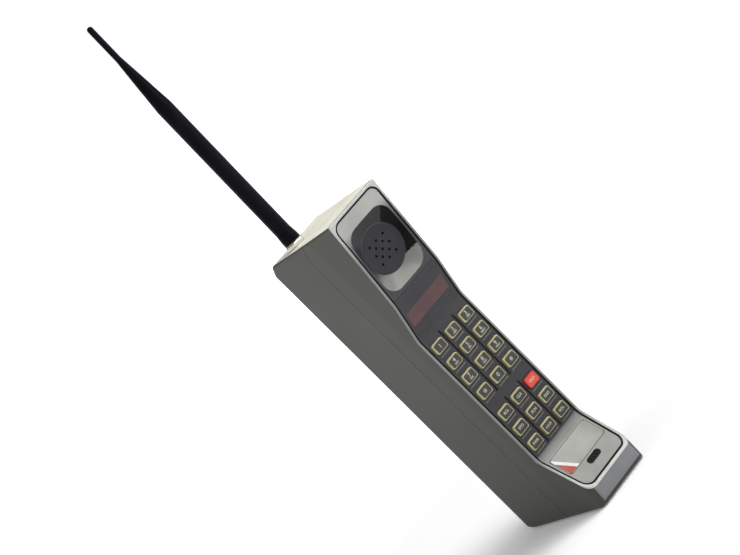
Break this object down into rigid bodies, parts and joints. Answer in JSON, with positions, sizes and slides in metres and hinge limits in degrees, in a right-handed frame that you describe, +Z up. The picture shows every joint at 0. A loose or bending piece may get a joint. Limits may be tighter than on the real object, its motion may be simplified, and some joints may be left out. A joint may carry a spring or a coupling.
{
  "type": "mobile phone",
  "caption": "Early hand-held mobile phone: tall wedge-sided case, keypad with separate keys, ear cup, red display window and a stub antenna.",
  "frame": {"origin": "middle of the bounding box at the bottom, on the surface the phone stands on", "axes": "+Z up along the phone towards the antenna, -Y out of the keypad, +X to the right of someone facing the keys"},
  "size_m": [0.0446, 0.0901, 0.3894],
  "materials": {
    "housing_plastic": "moulded ABS, fine spark-eroded texture",
    "cap_plastic": "moulded plastic, pale cream, satin",
    "silver_panel": "satin silver paint on a moulded panel",
    "dark_panel": "dark blue-grey moulding, semi-gloss",
    "dark_grille": "dark grey moulded plastic",
    "gasket_rubber": "black rubber seal",
    "red_window": "dark red transparent acrylic",
    "key_plastic": "two-colour moulded key, cream with a dark top",
    "red_key_plastic": "moulded key, orange red",
    "mat_rubber": "silicone rubber",
    "antenna_rubber": "black moulded rubber",
    "nickel_plate": "nickel plated, turned",
    "plated_brass": "turned brass",
    "plate_metal": "brushed aluminium foil plate",
    "capsule_metal": "pressed aluminium can",
    "display_parts": "red numeric display under bubble lenses",
    "board_laminate": "green glass-epoxy board",
    "chip_plastic": "black moulded packages",
    "tinned_steel": "tinned steel",
    "screw_steel": "zinc-plated steel",
    "spring_steel": "spring wire",
    "cell_can": "nickel-cadmium cells in steel cans",
    "latch_plastic": "black moulded catch"
  },
  "bodies": {
    "phone": {"front_housing": "housing_plastic", "rear_housing": "housing_plastic", "top_cap_front": "cap_plastic", "top_cap_rear": "cap_plastic", "front_gasket": "gasket_rubber", "ear_panel": "silver_panel", "ear_grille": "dark_grille", "earpiece_capsule": "capsule_metal", "keypad_panel": "dark_panel", "display_window": "red_window", "display_module": "display_parts", "key_mat": "mat_rubber", "keypad_board": "board_laminate", "board_screws": "screw_steel", "chin_panel": "silver_panel", "nameplate": "plate_metal", "mic_grille": "dark_grille", "microphone_capsule": "capsule_metal", "ringer": "capsule_metal", "case_screws": "screw_steel", "antenna_socket": "plated_brass", "antenna_nut": "nickel_plate", "logic_board": "board_laminate", "transceiver_board": "board_laminate", "logic_chips": "chip_plastic", "transceiver_shield": "tinned_steel", "duplexer_filter": "tinned_steel", "body_contacts": "plated_brass", "latch_spring": "spring_steel"},
    "key_1": {"key_1": "key_plastic"},
    "key_2": {"key_2": "key_plastic"},
    "key_3": {"key_3": "key_plastic"},
    "key_4": {"key_4": "key_plastic"},
    "key_5": {"key_5": "key_plastic"},
    "key_6": {"key_6": "key_plastic"},
    "key_7": {"key_7": "key_plastic"},
    "key_8": {"key_8": "key_plastic"},
    "key_9": {"key_9": "key_plastic"},
    "key_star": {"key_star": "key_plastic"},
    "key_0": {"key_0": "key_plastic"},
    "key_hash": {"key_hash": "key_plastic"},
    "key_rcl": {"key_rcl": "key_plastic"},
    "key_clr": {"key_clr": "key_plastic"},
    "key_snd": {"key_snd": "red_key_plastic"},
    "key_sto": {"key_sto": "key_plastic"},
    "key_fcn": {"key_fcn": "key_plastic"},
    "key_end": {"key_end": "key_plastic"},
    "key_pwr": {"key_pwr": "key_plastic"},
    "key_lock": {"key_lock": "key_plastic"},
    "key_vol": {"key_vol": "key_plastic"},
    "antenna": {"antenna_stud": "plated_brass", "antenna_sheath": "antenna_rubber", "antenna_element": "plated_brass"},
    "battery": {"battery_case": "housing_plastic", "battery_cover": "housing_plastic", "battery_cells": "cell_can", "battery_contacts": "plated_brass"},
    "latch": {"battery_latch": "latch_plastic"}
  },
  "joints": [
    {"name": "key_1_press", "type": "slide", "parent": "phone", "child": "key_1", "axis": [0, 1, 0], "range_m": [0, 0.0012], "stiffness_N_per_m": 900, "springref_m": -0.0004},
    {"name": "key_2_press", "type": "slide", "parent": "phone", "child": "key_2", "axis": [0, 1, 0], "range_m": [0, 0.0012], "stiffness_N_per_m": 900, "springref_m": -0.0004},
    {"name": "key_3_press", "type": "slide", "parent": "phone", "child": "key_3", "axis": [0, 1, 0], "range_m": [0, 0.0012], "stiffness_N_per_m": 900, "springref_m": -0.0004},
    {"name": "key_4_press", "type": "slide", "parent": "phone", "child": "key_4", "axis": [0, 1, 0], "range_m": [0, 0.0012], "stiffness_N_per_m": 900, "springref_m": -0.0004},
    {"name": "key_5_press", "type": "slide", "parent": "phone", "child": "key_5", "axis": [0, 1, 0], "range_m": [0, 0.0012], "stiffness_N_per_m": 900, "springref_m": -0.0004},
    {"name": "key_6_press", "type": "slide", "parent": "phone", "child": "key_6", "axis": [0, 1, 0], "range_m": [0, 0.0012], "stiffness_N_per_m": 900, "springref_m": -0.0004},
    {"name": "key_7_press", "type": "slide", "parent": "phone", "child": "key_7", "axis": [0, 1, 0], "range_m": [0, 0.0012], "stiffness_N_per_m": 900, "springref_m": -0.0004},
    {"name": "key_8_press", "type": "slide", "parent": "phone", "child": "key_8", "axis": [0, 1, 0], "range_m": [0, 0.0012], "stiffness_N_per_m": 900, "springref_m": -0.0004},
    {"name": "key_9_press", "type": "slide", "parent": "phone", "child": "key_9", "axis": [0, 1, 0], "range_m": [0, 0.0012], "stiffness_N_per_m": 900, "springref_m": -0.0004},
    {"name": "key_star_press", "type": "slide", "parent": "phone", "child": "key_star", "axis": [0, 1, 0], "range_m": [0, 0.0012], "stiffness_N_per_m": 900, "springref_m": -0.0004},
    {"name": "key_0_press", "type": "slide", "parent": "phone", "child": "key_0", "axis": [0, 1, 0], "range_m": [0, 0.0012], "stiffness_N_per_m": 900, "springref_m": -0.0004},
    {"name": "key_hash_press", "type": "slide", "parent": "phone", "child": "key_hash", "axis": [0, 1, 0], "range_m": [0, 0.0012], "stiffness_N_per_m": 900, "springref_m": -0.0004},
    {"name": "key_rcl_press", "type": "slide", "parent": "phone", "child": "key_rcl", "axis": [0, 1, 0], "range_m": [0, 0.0012], "stiffness_N_per_m": 900, "springref_m": -0.0004},
    {"name": "key_clr_press", "type": "slide", "parent": "phone", "child": "key_clr", "axis": [0, 1, 0], "range_m": [0, 0.0012], "stiffness_N_per_m": 900, "springref_m": -0.0004},
    {"name": "key_snd_press", "type": "slide", "parent": "phone", "child": "key_snd", "axis": [0, 1, 0], "range_m": [0, 0.0012], "stiffness_N_per_m": 900, "springref_m": -0.0004},
    {"name": "key_sto_press", "type": "slide", "parent": "phone", "child": "key_sto", "axis": [0, 1, 0], "range_m": [0, 0.0012], "stiffness_N_per_m": 900, "springref_m": -0.0004},
    {"name": "key_fcn_press", "type": "slide", "parent": "phone", "child": "key_fcn", "axis": [0, 1, 0], "range_m": [0, 0.0012], "stiffness_N_per_m": 900, "springref_m": -0.0004},
    {"name": "key_end_press", "type": "slide", "parent": "phone", "child": "key_end", "axis": [0, 1, 0], "range_m": [0, 0.0012], "stiffness_N_per_m": 900, "springref_m": -0.0004},
    {"name": "key_pwr_press", "type": "slide", "parent": "phone", "child": "key_pwr", "axis": [0, 1, 0], "range_m": [0, 0.0012], "stiffness_N_per_m": 900, "springref_m": -0.0004},
    {"name": "key_lock_press", "type": "slide", "parent": "phone", "child": "key_lock", "axis": [0, 1, 0], "range_m": [0, 0.0012], "stiffness_N_per_m": 900, "springref_m": -0.0004},
    {"name": "key_vol_press", "type": "slide", "parent": "phone", "child": "key_vol", "axis": [0, 1, 0], "range_m": [0, 0.0012], "stiffness_N_per_m": 900, "springref_m": -0.0004},
    {"name": "antenna_turn", "type": "hinge", "parent": "phone", "child": "antenna", "pos_m": [-0.0113, 0.016, 0.22015], "axis": [0.0262, 0, 0.9997], "range_deg": [0, 1800]},
    {"name": "battery_off", "type": "slide", "parent": "phone", "child": "battery", "axis": [0, 1, 0], "range_m": [0, 0.03]},
    {"name": "latch_slide", "type": "slide", "parent": "phone", "child": "latch", "axis": [0, 0, 1], "range_m": [0, 0.0025], "stiffness_N_per_m": 400, "springref_m": -0.002, "deforming": ["latch_spring"]}
  ]
}
